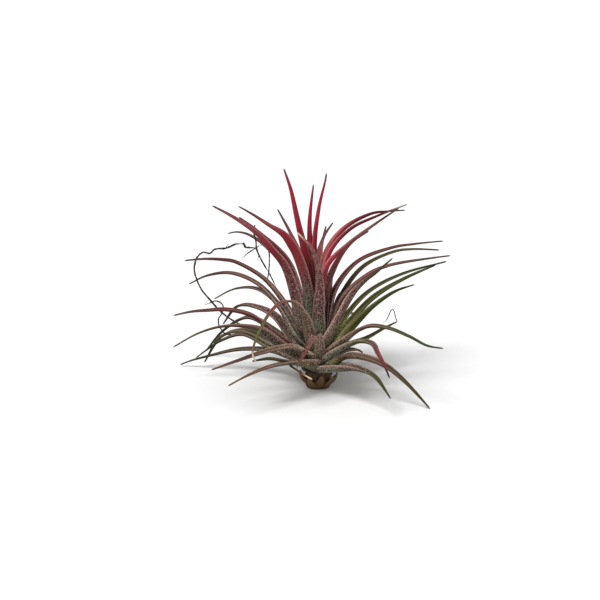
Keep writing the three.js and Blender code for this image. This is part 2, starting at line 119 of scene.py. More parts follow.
# What a leaf's colour is multiplied by where it is clouded, streaked or speckled, and what its edge lines
# add to it
CLOUD_SHADE = (0.6, 0.52, 0.48, 1)
STREAK_SHADE = (0.5, 0.45, 0.43, 1)
SPECKLE_SHADE = (0.2, 0.08, 0.12, 1)
RIM_LIGHT = (0.24, 0.15, 0.13, 1)

# Colours of the surface, as sRGB
PALETTE = {
    "silver": (164, 162, 142),
    "ivory": (216, 200, 176),
    "peach": (166, 114, 102),
    "sand": (136, 112, 94),
    "clay": (118, 84, 78),
    "tan": (104, 78, 60),
    "straw": (112, 90, 54),
    "rose": (134, 82, 80),
    "dusty": (122, 60, 65),
    "brick": (106, 54, 50),
    "mauve": (98, 58, 55),
    "heather": (88, 66, 62),
    "plum": (96, 42, 50),
    "berry": (90, 38, 38),
    "wine": (70, 29, 30),
    "garnet": (90, 19, 28),
    "maroon": (100, 32, 36),
    "rosewood": (128, 46, 58),
    "cherry": (118, 27, 39),
    "ruby": (128, 35, 46),
    "crimson": (150, 37, 54),
    "sage": (108, 116, 94),
    "lichen": (88, 84, 70),
    "pale_green": (168, 180, 100),
    "lime": (138, 152, 70),
    "grass": (84, 92, 28),
    "leaf": (52, 66, 11),
    "fern": (54, 63, 27),
    "moss": (40, 42, 17),
    "khaki": (90, 88, 50),
    "olive": (72, 66, 36),
    "brown": (74, 50, 40),
    "umber": (62, 42, 34),
    "bark": (70, 52, 40),
    "slate": (74, 66, 62),
    "ink": (46, 40, 34),
    # painted shade: the near-black of the core, which shows only in the gaps between the leaf bases
    "dark": (34, 22, 16),
}

# Each kind of leaf: the share of its length at which its grey scales thin out, then its colours from base
# to tip as (share of its length, colour)
STYLES = {
    "flame": (0.3, [(0, "maroon"), (0.38, "maroon"), (0.5, "ruby"), (0.6, "crimson"), (0.86, "crimson"),
                    (0.93, "rosewood"), (1, "slate")]),
    "ember": (0.3, [(0, "maroon"), (0.5, "plum"), (0.78, "rose"), (0.9, "heather"), (1, "slate")]),
    "withered": (0.5, [(0, "maroon"), (0.4, "brown"), (0.65, "dusty"), (0.78, "rose"), (0.92, "mauve"),
                       (1, "slate")]),
    "sunset": (0.6, [(0, "sage"), (0.23, "sage"), (0.3, "lichen"), (0.4, "plum"), (0.5, "ruby"),
                     (0.72, "cherry"), (0.82, "dusty"), (0.9, "plum"), (1, "slate")]),
    "blush": (0.6, [(0, "silver"), (0.08, "sand"), (0.2, "heather"), (0.3, "plum"), (0.48, "maroon"),
                    (0.62, "cherry"), (0.8, "dusty"), (0.9, "dusty"), (1, "slate")]),
    "flush": (0.5, [(0, "maroon"), (0.4, "crimson"), (0.62, "crimson"), (0.7, "cherry"), (0.8, "garnet"),
                    (0.9, "wine"), (1, "slate")]),
    "pale_end": (0.5, [(0, "mauve"), (0.35, "crimson"), (0.54, "crimson"), (0.61, "cherry"),
                       (0.7, "garnet"), (0.84, "garnet"), (0.9, "mauve"), (1, "silver")]),
    "russet": (0.5, [(0, "mauve"), (0.3, "crimson"), (0.52, "crimson"), (0.62, "dusty"), (0.7, "brick"),
                     (0.8, "clay"), (0.9, "umber"), (1, "slate")]),
    "wine": (0.6, [(0, "umber"), (0.2, "mauve"), (0.3, "rose"), (0.42, "dusty"), (0.52, "berry"),
                   (0.7, "berry"), (0.86, "mauve"), (1, "slate")]),
    "old_wine": (0.5, [(0, "umber"), (0.25, "mauve"), (0.55, "berry"), (0.75, "heather"), (1, "slate")]),
    "muted": (0.9, [(0, "silver"), (0.08, "silver"), (0.2, "sand"), (0.3, "clay"), (0.42, "mauve"),
                    (0.58, "mauve"), (0.7, "brown"), (0.82, "umber"), (1, "slate")]),
    "speckled": (1.0, [(0, "sage"), (0.14, "silver"), (0.22, "sage"), (0.3, "mauve"), (0.4, "plum"),
                       (0.5, "dusty"), (0.75, "dusty"), (0.86, "rose"), (0.92, "peach"), (0.97, "ivory"),
                       (1, "ivory")]),
    "dusk": (0.6, [(0, "heather"), (0.25, "wine"), (0.5, "wine"), (0.6, "berry"), (0.75, "berry"),
                   (0.88, "heather"), (1, "slate")]),
    "cherry": (0.5, [(0, "umber"), (0.22, "berry"), (0.38, "maroon"), (0.55, "berry"), (0.7, "berry"),
                     (0.84, "heather"), (1, "slate")]),
    "shade": (0.6, [(0, "heather"), (0.2, "umber"), (0.4, "umber"), (0.5, "bark"), (0.68, "umber"),
                    (0.85, "olive"), (1, "slate")]),
    "bronze": (0.6, [(0, "sage"), (0.15, "sage"), (0.22, "lichen"), (0.3, "umber"), (0.4, "umber"),
                     (0.55, "brown"), (0.75, "brown"), (0.9, "heather"), (1, "slate")]),
    "reed": (0.3, [(0, "umber"), (0.4, "bark"), (0.56, "olive"), (0.8, "khaki"), (1, "slate")]),
    "bow": (0.5, [(0, "straw"), (0.25, "sand"), (0.32, "sand"), (0.42, "heather"), (0.52, "umber"),
                  (0.65, "fern"), (0.92, "fern"), (1, "slate")]),
    "green": (0.35, [(0, "pale_green"), (0.2, "pale_green"), (0.29, "grass"), (0.44, "leaf"),
                     (0.7, "leaf"), (0.85, "fern"), (1, "ink")]),
    "fresh_green": (0.35, [(0, "lime"), (0.2, "lime"), (0.3, "grass"), (0.46, "fern"), (0.8, "fern"),
                           (1, "ink")]),
    "dark_green": (0.5, [(0, "khaki"), (0.25, "olive"), (0.4, "fern"), (0.55, "moss"), (0.8, "moss"),
                         (1, "ink")]),
    "yellow_green": (0.5, [(0, "khaki"), (0.3, "olive"), (0.5, "olive"), (0.7, "khaki"), (0.88, "fern"),
                           (1, "ink")]),
    "arch": (0.7, [(0, "sage"), (0.15, "sage"), (0.22, "clay"), (0.32, "tan"), (0.5, "tan"), (0.58, "brick"),
                   (0.7, "brick"), (0.77, "khaki"), (0.86, "khaki"), (0.93, "tan"), (0.955, "ivory"),
                   (1, "ivory")]),
    "fold": (1.0, [(0, "silver"), (0.2, "silver"), (0.32, "sand"), (0.45, "sand"), (0.6, "peach"),
                   (0.68, "rose"), (0.8, "brick"), (0.9, "mauve"), (1, "slate")]),
    "knee": (0.6, [(0, "silver"), (0.2, "silver"), (0.3, "sage"), (0.42, "lichen"), (0.55, "fern"),
                   (0.63, "leaf"), (0.7, "heather"), (0.8, "dusty"), (0.9, "brick"), (1, "ink")]),
    "turn": (0.5, [(0, "pale_green"), (0.18, "pale_green"), (0.28, "straw"), (0.42, "tan"), (0.5, "tan"),
                   (0.6, "brown"), (0.75, "olive"), (0.9, "olive"), (1, "slate")]),
    "sheath": (0.9, [(0, "umber"), (0.1, "bark"), (0.2, "lichen"), (0.3, "lichen"), (0.4, "bark"),
                     (0.5, "umber"), (0.62, "umber"), (0.72, "fern"), (0.9, "olive"), (1, "ink")]),
    "straw": (0.7, [(0, "bark"), (0.18, "bark"), (0.28, "straw"), (0.4, "olive"), (0.5, "brown"),
                    (0.75, "tan"), (1, "straw")]),
    "pink_tan": (0.7, [(0, "ivory"), (0.22, "ivory"), (0.38, "sand"), (0.55, "tan"), (0.72, "bark"),
                       (0.88, "tan"), (1, "tan")]),
    "dry": (0.2, [(0, "tan"), (0.7, "umber"), (0.82, "bark"), (0.88, "peach"), (0.93, "ivory"),
                  (1, "ivory")]),
    "stub": (0.2, [(0, "brown"), (0.5, "tan"), (1, "straw")]),
    "husk": (0.2, [(0, "tan"), (0.5, "straw"), (1, "sand")]),
}

# Each leaf is a row: its kind, its width at the base or its widths as (share of its length, width), how far
# in degrees its back is turned to the front, then the points that its middle passes through from base to
# tip, each across and up from the crown as seen by the eye, and how far behind the stem it lies.
HEART_LEAVES = [
    ("flame", 3.7, 40, [(-1.5, 19.2, -1), (-3.3, 30.6, -2), (-6.1, 42.6, -4), (-8.2, 52, -6),
                        (-10.35, 58.8, -7)]),
    ("flame", 2.9, 0, [(-1.5, 19.2, -0.5), (-2.4, 34.2, -1), (-2.5, 43.2, -2), (-1.4, 54, -3)]),
    ("flame", 3.5, 0, [(-0.6, 19.2, -0.5), (-1.1, 34.2, -1), (0.2, 46.2, -2), (2.35, 55.4, -3),
                       (2.6, 57.4, -3)]),
    ("ember", 2.8, 0, [(-0.3, 19.2, 4), (-0.3, 30.6, 10), (1.65, 37.7, 16), (4.55, 42.5, 20)]),
    ("withered", 2.4, 0, [(0.3, 19.2, 2), (0.6, 29.7, 7), (1.25, 36.2, 11), (2.45, 41.5, 14)]),
    ("ember", 2.6, 0, [(-2.7, 19.2, 3), (-5.2, 32.4, 9), (-8.5, 39.5, 14), (-12.2, 46.5, 19)]),
    ("flame", 2.8, 0, [(-1.5, 19.2, 5), (-2.2, 29, 12), (-3.2, 34, 18), (-4.8, 37, 24)]),
]
UPPER_LEAVES = [
    ("sunset", [(0, 4.4), (0.35, 3.2), (0.64, 3.2), (0.78, 1.4), (1, 0.3)], 50,
     [(-2.4, 13.2, -4), (-3.1, 21.3, -7), (-4.7, 28, -9), (-7.2, 34.3, -11), (-10.4, 38.8, -12),
      (-15, 41.8, -12), (-19.6, 44.8, -11), (-24.1, 47.4, -10)]),
    ("speckled", [(0, 4.4), (0.3, 4), (0.4, 3.6), (0.48, 2.9), (0.64, 2.1), (0.82, 1.4), (1, 0.3)], 0,
     [(0.1, 10.2, -7), (0.1, 16, -8.8), (0.3, 20.7, -10), (0, 28.4, -12), (-2.1, 34.8, -13),
      (-6.3, 39.6, -14)]),
    ("blush", 4.7, 40, [(-5, 11.7, -5), (-6.9, 20.1, -7), (-10.2, 29.6, -10), (-13.8, 34.2, -12),
                        (-17.6, 38.5, -13), (-21.3, 41.4, -14), (-26.2, 44.5, -14), (-31.9, 47.6, -14)]),
    ("wine", 3.9, 25, [(-4.3, 16.2, -1), (-6.4, 25.2, -1), (-8.9, 31.1, -1), (-12.4, 35.1, -1),
                       (-16.8, 38.9, -1), (-20.4, 41.8, -0.5), (-23.9, 44.2, 0)]),
    ("wine", 3.2, 0, [(-5.4, 16.2, 5), (-9.3, 28.2, 9), (-15.8, 35.4, 13), (-21.3, 39, 17),
                      (-24.6, 39.6, 18.5), (-27.2, 39.1, 20)]),
    ("flush", [(0, 4.8), (0.35, 3.6), (0.69, 2.3), (0.76, 1.9), (0.89, 1), (1, 0.3)], 15,
     [(0.6, 20.7, 2), (1.9, 32.4, 5), (7.3, 40.5, 9), (15.6, 45.1, 12), (21, 45.8, 14), (26.4, 46.15, 15)]),
    ("pale_end", 3.9, 20, [(1.1, 22.2, -3), (3.5, 33.7, -3), (9.7, 40.6, -3), (17.9, 44.5, -2),
                           (27, 48, -1)]),
    ("russet", 3.8, 20, [(0.9, 19.2, -6), (2.9, 29.8, -8), (8.9, 35.9, -8), (16.8, 41.8, -7),
                         (24.5, 46.9, -6)]),
    ("wine", 3.6, 0, [(1.8, 15.6, 4), (3.15, 24.3, 10), (6.3, 31.6, 15), (10.2, 36.5, 20),
                      (15.3, 39.9, 24)]),
    ("flame", 4.0, 0, [(-0.6, 15, 7), (-0.4, 24, 15), (0.4, 30, 23), (0.6, 33, 31)]),
    ("blush", 3.8, 0, [(-3.6, 14, 7), (-6.4, 23, 15), (-9.6, 29.5, 23), (-12.4, 32.4, 31)]),
    ("wine", 3.4, 0, [(1.6, 14, 7), (2.8, 22.5, 15), (4.6, 28.4, 24), (6.4, 31.5, 32)]),
]
MIDDLE_LEAVES = [
    ("dusk", 3.8, 0, [(-5.4, 10.8, 3), (-9.6, 18, 5), (-16.05, 25.7, 6), (-24.85, 30.7, 5),
                      (-28.5, 31.3, 4), (-33.9, 31.5, 2), (-40.2, 31, 1)]),
    ("bronze", 3.8, 0, [(-6.3, 8.7, -2), (-11.3, 17, -1), (-18, 24.1, 1), (-25.8, 27.35, 3),
                        (-33.2, 26.6, 6), (-38.8, 23.9, 8)]),
    ("shade", 2.8, 0, [(-6.6, 10.2, 8), (-12.6, 18.6, 14), (-18.35, 22.6, 19), (-24.6, 22.7, 24),
                       (-31.2, 19.5, 30)]),
    ("cherry", 3.1, 0, [(2.5, 11.7, 4), (5.2, 22.6, 8), (11.7, 30.65, 12), (22.2, 34.95, 16),
                        (28.8, 36, 18), (37.8, 36.9, 20)]),
    ("reed", 2.5, 0, [(3.6, 10.2, 8), (7.2, 20.7, 14), (13.5, 29.1, 19), (23.1, 33.75, 24),
                      (28.5, 34.4, 26), (36.6, 34.2, 28)]),
    ("old_wine", 3.0, 0, [(3, 8.7, -2), (7.6, 20.4, -2), (15.3, 27.2, -2), (20.5, 29.4, -2),
                          (25.2, 30.5, -2), (32, 31.5, -2), (39.9, 32.5, -2)]),
    ("muted", [(0, 4.6), (0.22, 3.6), (0.38, 2.7), (0.6, 2.6), (0.8, 1.5), (1, 0.3)], 0,
     [(3, 7.8, -7), (4.6, 10.8, -8.8), (7.1, 15.6, -12), (10.9, 21.9, -16), (14.5, 25.4, -18),
      (17.1, 27.2, -19), (22.5, 31.8, -22)]),
    ("dusk", 3.8, 0, [(-1.5, 10, 8), (-2.4, 18, 18), (-3.3, 23, 28), (-4.2, 24.6, 38)]),
    ("wine", 3.8, 0, [(1.5, 10, 8), (2.7, 18, 18), (3.6, 23.4, 28), (4.2, 25.5, 38)]),
    ("bronze", 3.2, 0, [(3.4, 9, 7), (4.6, 14.5, 13), (5.6, 18.6, 20), (6.5, 21.4, 26)]),
    ("dusk", 3.6, 0, [(-4.8, 9.6, 8), (-8.9, 14.8, 18), (-12.6, 18.7, 28), (-16, 21, 37)]),
]
LOWER_LEAVES = [
    ("arch", [(0, 4.8), (0.2, 4.3), (0.32, 3.4), (0.42, 2.2), (0.55, 1.5), (0.85, 0.9), (1, 0.4)], 0,
     [(-2.4, 7.8, -10), (-4.1, 14.7, -15), (-7.4, 18.7, -19), (-11.2, 18.4, -23), (-13.5, 16.4, -25),
      (-16.3, 12.3, -28), (-19.6, 3.4, -31), (-18.5, 0.4, -31)]),
    ("cherry", 4.1, 0, [(-5.4, 4.2, -3), (-12.6, 9.3, -6), (-19.8, 14.7, -9), (-27.3, 16.4, -12),
                        (-33, 16.15, -13.4), (-38, 15.7, -15), (-43.5, 14.5, -16)]),
    ("muted", 4.4, 0, [(-6.3, 5.7, 7), (-12.6, 14.1, 14), (-18.3, 17.2, 20), (-23.9, 17.5, 25),
                       (-28.5, 11.9, 30)]),
    ("shade", [(0, 5.2), (0.45, 3.6), (0.64, 1.7), (1, 0.3)], 30,
     [(-4.8, 2.1, -6), (-11.4, 6.2, -10), (-18.3, 10.9, -14), (-28.2, 11.4, -19), (-35.9, 9.2, -22),
      (-43.6, 5, -24)]),
    ("fresh_green", 2.7, 0, [(3.6, 5.7, 4), (8.4, 14.4, 9), (15, 21.6, 13), (25.2, 27, 17),
                             (38.7, 30.8, 20)]),
    ("green", 3.9, 0, [(3.6, 5.1, 1), (9.6, 12.9, 2), (17, 20.4, 4), (25.8, 25.6, 6), (35.4, 29.7, 8)]),
    ("green", 5.0, 15, [(4.2, 4.2, -2), (10.4, 11.5, -4), (16.4, 17.45, -6), (23.15, 21.9, -8),
                        (29.05, 23.85, -9)]),
    ("bow", [(0, 4.8), (0.25, 3.6), (0.42, 2.2), (0.7, 1.45), (0.92, 0.8), (1, 0.3)], 0,
     [(3, 3.6, -6), (7.5, 7.3, -10), (14.75, 11.4, -15), (20.8, 10.9, -18), (27.1, 8.4, -21),
      (32.7, 5.5, -23.5), (37.8, 4.6, -25)]),
    ("bronze", 3.8, 0, [(0, 6, 8), (0.6, 12.6, 19), (1.2, 15.6, 30), (1.5, 15, 41)]),
    ("shade", 3.8, 0, [(-3.9, 6, 8), (-7.2, 11.1, 19), (-9.6, 13.2, 30), (-11.4, 11.7, 41)]),
    ("dusk", 3.8, 0, [(3.6, 6, 8), (6.6, 12, 18), (9, 15, 29), (11, 15.3, 40)]),
    ("green", 3.2, 0, [(4.5, 4.8, 6), (9.9, 11.2, 15), (14.2, 15.6, 25), (16.9, 18, 33)]),
]
BASAL_LEAVES = [
    ("yellow_green", 4.4, 0, [(-6.6, 2.4, 4), (-15, 7.2, 9), (-22.5, 10.1, 13), (-29, 8.3, 17),
                              (-34.1, 0.4, 20)]),
    ("dark_green", 3.6, 0, [(-6.6, 1.8, 0), (-15, 5.4, 2), (-22.5, 9, 4), (-29.3, 7, 6),
                            (-36.7, 1.8, 8)]),
    ("dark_green", 3.6, 0, [(-6, 3.6, 8), (-13.8, 10.5, 15), (-21, 14.1, 21), (-27.9, 10.5, 26),
                            (-33.9, 3.6, 31)]),
    ("dark_green", 3.2, 0, [(-5.4, 1.2, 5), (-14.4, 4.2, 10), (-23.4, 4.5, 14), (-33, 2.4, 17),
                            (-38.2, 1, 19), (-41.5, -0.3, 20)]),
    ("pink_tan", 3.5, 0, [(-1.2, 2.1, -7), (-6.9, 5.2, -12), (-15, 4, -17), (-23.4, 1.2, -22),
                          (-32.1, -1.8, -27)]),
    ("yellow_green", 4.0, 0, [(-3, -0.3, -9), (-9, 0.7, -14), (-14.4, 1.6, -18), (-19.8, 0.8, -21)]),
    ("straw", [(0, 6), (0.2, 5.8), (0.3, 4.6), (0.42, 2.4), (0.6, 1.7), (1, 0.3)], 20,
     [(-1.5, 0.6, -9), (-4.2, 0.9, -12), (-7.8, 0.6, -15), (-14.4, -0.7, -21), (-20.4, -3.1, -26),
      (-27, -6.6, -31)]),
    ("dry", [(0, 2.2), (0.45, 0.9), (0.55, 0.6), (0.8, 0.55), (1, 0.3)], 0,
     [(-3.6, -0.3, -9), (-8.4, -0.4, -13.6), (-7.2, -1.3, -15.2), (-4.8, -2.9, -17.4), (-1.7, -4.7, -20)]),
    ("fold", [(0, 4), (0.4, 3.6), (0.5, 3), (0.6, 1.9), (0.75, 1.5), (0.9, 1.3), (1, 0.3)], 0,
     [(0.2, 3, -8), (0.1, 6.5, -11), (-0.5, 8.8, -13.5), (-2.1, 6.6, -18), (-4.4, 2.7, -22),
      (-6.4, -1.2, -24.5)]),
    ("fresh_green", 3.4, 0, [(3.6, 3, 4), (9.6, 6, 8), (14.7, 7.9, 12), (19.5, 10.55, 15),
                             (23.8, 12.7, 18)]),
    ("knee", [(0, 4.8), (0.3, 3.3), (0.5, 2.5), (0.7, 2), (0.85, 1.3), (1, 0.3)], 0,
     [(3, 2.1, -8), (8.1, 5.4, -14), (12.1, 6.9, -18), (15.3, 6.6, -21.4), (16.7, 5.7, -22.6),
      (17.8, 3.4, -24), (19.5, 0.3, -26), (21.5, -4.4, -29)]),
    ("turn", 4.4, 0, [(3.6, 0, -7), (6.2, 1.6, -9), (9, 2.6, -10.8), (14.1, 2.1, -13.5),
                      (20.2, -0.4, -16.5), (26.2, -5.4, -19), (33.6, -13.5, -21.5)]),
    ("sheath", [(0, 6), (0.3, 5.6), (0.37, 5), (0.46, 3.9), (0.58, 2.5), (0.7, 1.75), (0.85, 1.2),
                (1, 0.3)], 0,
     [(2.1, -0.9, -8), (7.2, -0.7, -14), (12.5, -1.4, -20), (17.1, -3.9, -25), (21.8, -10.5, -31)]),
    ("stub", 4.2, 0, [(4.2, 2.2, 7), (8.4, 4.2, 12), (11.5, 4.4, 15), (13.4, 3.4, 18)]),
    ("straw", 3.6, 0, [(1.5, 3, 9), (4.2, 7.8, 20), (6.9, 8.7, 31), (8.4, 5.7, 41)]),
    ("dark_green", 3.6, 0, [(-2.4, 3, 9), (-5.4, 7.5, 20), (-8.7, 8.4, 31), (-11.4, 5.4, 41)]),
    ("yellow_green", 3.2, 0, [(5, 3.4, 6), (10.2, 8.8, 14), (14.8, 11.2, 22), (18.8, 11.4, 30)]),
]

# The wiry roots: each row is a radius, then the same kind of points from the thick end to the tip
LOOP_ROOT = [
    (0.27, [(-4.5, 2.4, 0), (-10.2, 5.7, -0.5), (-12.6, 7.8, -1), (-15, 9, -2), (-18, 10.2, -1),
            (-21.3, 11.1, 1), (-24, 12.2, 3), (-27.3, 14.2, 4), (-29.8, 16.3, 4), (-32.7, 19.6, 4),
            (-34.8, 22.1, 4), (-36.4, 25.4, 4), (-37.1, 28.2, 4), (-36.9, 30.3, 5), (-36.2, 32.1, 5),
            (-34.5, 33.5, 5), (-32.4, 33.2, 5), (-31, 34.4, 5), (-27.9, 34.7, 5), (-26.6, 35.1, 5),
            (-24.9, 35.9, 5), (-22.4, 36.1, 5)]),
    (0.34, [(-22.6, 36.2, 5), (-22.2, 36, 5), (-21.8, 35.1, 5), (-20, 34.9, 4.7), (-18.2, 34.8, 4.4)]),
    (0.24, [(-19, 41.6, 3), (-19.2, 39.3, 4), (-18.6, 36.6, 4.5), (-18.5, 34.8, 4.5), (-17.6, 32.4, 5.5),
            (-16.5, 30.3, 6.5), (-14.8, 27.5, 8)]),
    (0.2, [(-14.8, 27.5, 8), (-13.4, 24.8, 9), (-12.6, 22.9, 10)]),
    (0.19, [(-15.3, 34.8, 3), (-14.7, 33.6, 4), (-14.6, 30.6, 6), (-14.8, 27.5, 8), (-15.1, 25.5, 9),
            (-15, 23.3, 10)]),
    (0.2, [(-18.5, 34.7, 4.5), (-17.8, 35.4, 4), (-16.7, 35.7, 3.5)]),
    (0.18, [(-18.6, 34.8, 4.5), (-21, 33.3, 4), (-22.9, 31.5, 3.5)]),
    (0.18, [(-17.7, 32.6, 5.4), (-18, 31.6, 5), (-18, 30.8, 5)]),
    (0.14, [(-27.7, 34.8, 5), (-26.8, 36.1, 4.5)]),
]
CURL_ROOT = [
    (0.2, [(-4.5, 1.2, 3), (-9.6, 2.8, 4.3), (-15, 5.3, 5.8), (-22.5, 8.7, 7.5), (-27.6, 9, 8),
           (-29.1, 10.5, 7), (-29.8, 11.9, 6), (-29.8, 13.6, 6), (-28.9, 15.1, 6), (-28.4, 16.8, 6),
           (-28.8, 18, 7), (-29.8, 18.7, 8), (-30.9, 18.9, 8), (-32.5, 18.3, 8), (-34.1, 17.7, 8)]),
]
# A thread of dry leaf fibre that hangs from the tip of one green leaf
THREAD = [
    (0.13, [(23.8, 12.7, 18), (23.3, 13.8, 18), (22.8, 15.9, 18), (22.4, 16.4, 18), (22, 16.2, 18),
            (21.2, 14.5, 18), (20.3, 12.9, 17), (19.3, 12.2, 16)]),
]
ROOT_SIDES = 9
ROOT_STEP = 0.35
LEAST_ROOT_STEPS = 12
ROOT_TAPER = 2.5  # length over which a root thins out to its end
ROOT_END = 0.4  # share of its radius that a root has at its end

# How uneven a root is, as shares of its radius: slow swells, knobs from step to step, bumps round each step
ROOT_SWELLS = 0.12
ROOT_KNOBS = 0.1
ROOT_ROUGHNESS = 0.08

LOOP_SEED = 500
CURL_SEED = 520
THREAD_SEED = 540

# Tiers from the heart outwards: the CAD node's first name, the heights of its slice of the core, its leaves
TIERS = [
    ("heart", 16.6, 20.5, HEART_LEAVES),
    ("upper", 13.9, 16.3, UPPER_LEAVES),
    ("middle", 11.2, 13.6, MIDDLE_LEAVES),
    ("lower", 8.5, 10.9, LOWER_LEAVES),
    ("basal", 5.7, 8.2, BASAL_LEAVES),
]
SEEDS_PER_TIER = 100

UP =np.array([0.0, 0.0, 1.0])
SCREEN_UP = np.array([0.0, math.sin(EYE_ELEVATION), math.cos(EYE_ELEVATION)])
SIGHT = np.array([0.0, math.cos(EYE_ELEVATION), -math.sin(EYE_ELEVATION)])
CROWN = np.array([0.0, 0.0, CROWN_HEIGHT])


def on_screen(across, up):
    return np.array([across, 0.0, 0.0]) + up * SCREEN_UP + CROWN


EYE = on_screen(*EYE_AIM) - EYE_DISTANCE * SIGHT


def seen_point(point):
    """A row's point in the plant's frame: on the eye's ray through (across, up), at its depth."""
    across, up, away = point
    ray = on_screen(across, up) - EYE
    return EYE + ray * (away - EYE[1]) / ray[1]


def unit(v):
    return v / np.linalg.norm(v)


def smooth_line(points, steps):
    """Evenly spaced points on a centripetal Catmull-Rom curve through the given ones."""
    points = np.asarray(points, float)
    padded = np.vstack([2 * points[0] - points[1], points, 2 * points[-1] - points[-2]])
    fine = []
    for p0, p1, p2, p3 in zip(padded, padded[1:], padded[2:], padded[3:]):
        d0, d1, d2 = (math.sqrt(max(np.linalg.norm(b - a), 1e-9)) for a, b in ((p0, p1), (p1, p2), (p2, p3)))
        leave = ((p1 - p0) / d0 - (p2 - p0) / (d0 + d1) + (p2 - p1) / d1) * d1
        arrive = ((p2 - p1) / d1 - (p3 - p1) / (d1 + d2) + (p3 - p2) / d2) * d1
        s = np.linspace(0, 1, LINE_SAMPLES, endpoint=False)[:, None]
        fine.append(p1 + leave * s + (3 * (p2 - p1) - 2 * leave - arrive) * s**2
                    + (leave + arrive - 2 * (p2 - p1)) * s**3)
    fine = np.vstack(fine + [points[-1:]])
    lengths = np.concatenate([[0], np.cumsum(np.linalg.norm(np.diff(fine, axis=0), axis=1))])
    even = np.linspace(0, lengths[-1], steps + 1)
    return np.stack([np.interp(even, lengths, fine[:, k]) for k in range(3)], 1), lengths[-1]


def linear(name):
    """A palette colour as linear light."""
    srgb = np.array(PALETTE[name]) / 255
    return np.where(srgb <= 0.04045, srgb / 12.92, ((srgb + 0.055) / 1.055) ** 2.4)


def skin_along(style, t):
    """Colour and scaliness at each share of a leaf's length, as four columns."""
    bare_from, stops = STYLES[style]
    shares = [share for share, _ in stops]
    values = np.array([linear(name) for _, name in stops])
    columns = [np.interp(t, shares, values[:, k]) for k in range(3)]
    scaly = np.clip(1 - t / bare_from, 0, 1) ** SCALY_POWER
    return np.stack([*columns, scaly], 1)


class Surface:
    """Points, faces and per-point values of one piece, gathered from many leaves or wires.

    A point's skin is its colour and scaliness. Its coord is where the patterns are read: across, along, and
    a shift that sets one leaf apart from the next. Its data is its share of a leaf's length, how much it
    lies on an edge line, and a zero.
    """

    def __init__(self):
        self.points, self.faces = [], []
        self.skins, self.coords, self.data = [], [], []
        self.count = 0

    def add(self, points, faces, skins, coords, data):
        self.points.append(points)
        self.faces.extend([tuple(i + self.count for i in face) for face in faces])
        self.skins.append(skins)
        self.coords.append(coords)
        self.data.append(data)
        self.count += len(points)

    def piece(self, name, material):
        mesh = bpy.data.meshes.new(name)
        mesh.from_pydata((np.vstack(self.points) * MM).tolist(), [], self.faces)
        color = mesh.attributes.new("leaf_color", "FLOAT_COLOR", "POINT")
        color.data.foreach_set("color", np.vstack(self.skins).astype(np.float32).ravel())
        for label, values in (("leaf_coord", self.coords), ("leaf_data", self.data)):
            field = mesh.attributes.new(label, "FLOAT_VECTOR", "POINT")
            field.data.foreach_set("vector", np.vstack(values).astype(np.float32).ravel())
        mesh.shade_smooth()
        mesh.materials.append(material)
        made = bpy.data.objects.new(name, mesh)
        bpy.context.scene.collection.objects.link(made)
        return made


def tube_faces(rings, sides):
    """Faces between rings of points that follow one another."""
    faces = []
    for i in range(rings - 1):
        for k in range(sides):
            n = (k + 1) % sides
            faces.append((i * sides + k, i * sides + n, (i + 1) * sides + n, (i + 1) * sides + k))
    return faces


def pointed_faces(rings, sides):
    """Faces of a tube that has a flat cap at its start and ends in one point."""
    faces = tube_faces(rings, sides)
    tip = rings * sides
    last = tip - sides
    faces.extend((last + k, last + (k + 1) % sides, tip) for k in range(sides))
    faces.append(tuple(range(sides - 1, -1, -1)))
    return faces


def frames_along(line, side):
    """The across and over directions at each point of a line."""
    across = side
    found = []
    for i in range(len(line)):
        ahead = unit(line[min(i + 1, len(line) - 1)] - line[max(i - 1, 0)])
        across = unit(across - ahead * across.dot(ahead))
        found.append((across, np.cross(ahead, across)))
    return found


def core_radius(height):
    radii, heights = zip(*CORE_OUTLINE)
    return float(np.interp(height, heights, radii))


def waves(rng, t, strength):
    """A gentle random wave along a leaf or root, which dies out over the third next to its start."""
    total = np.zeros_like(t)
    for cycles in WAVE_CYCLES:
        total += rng.normal() / cycles * np.sin(2 * np.pi * (cycles * t + rng.random()))
    return strength * total * np.minimum(1, 3 * t)


def widths_along(wide, t):
    """A leaf's width at each share of its length, from its width at the base or from its row's widths."""
    if isinstance(wide, list):
        shares, widths = zip(*wide)
        return np.interp(t, shares, widths)
    spread = (1 - t) ** LEAF_TAPER + SHEATH_FLARE * np.maximum(0, 1 - t / SHEATH_END) ** 2
    return TIP_WIDTH + (wide - TIP_WIDTH) * spread


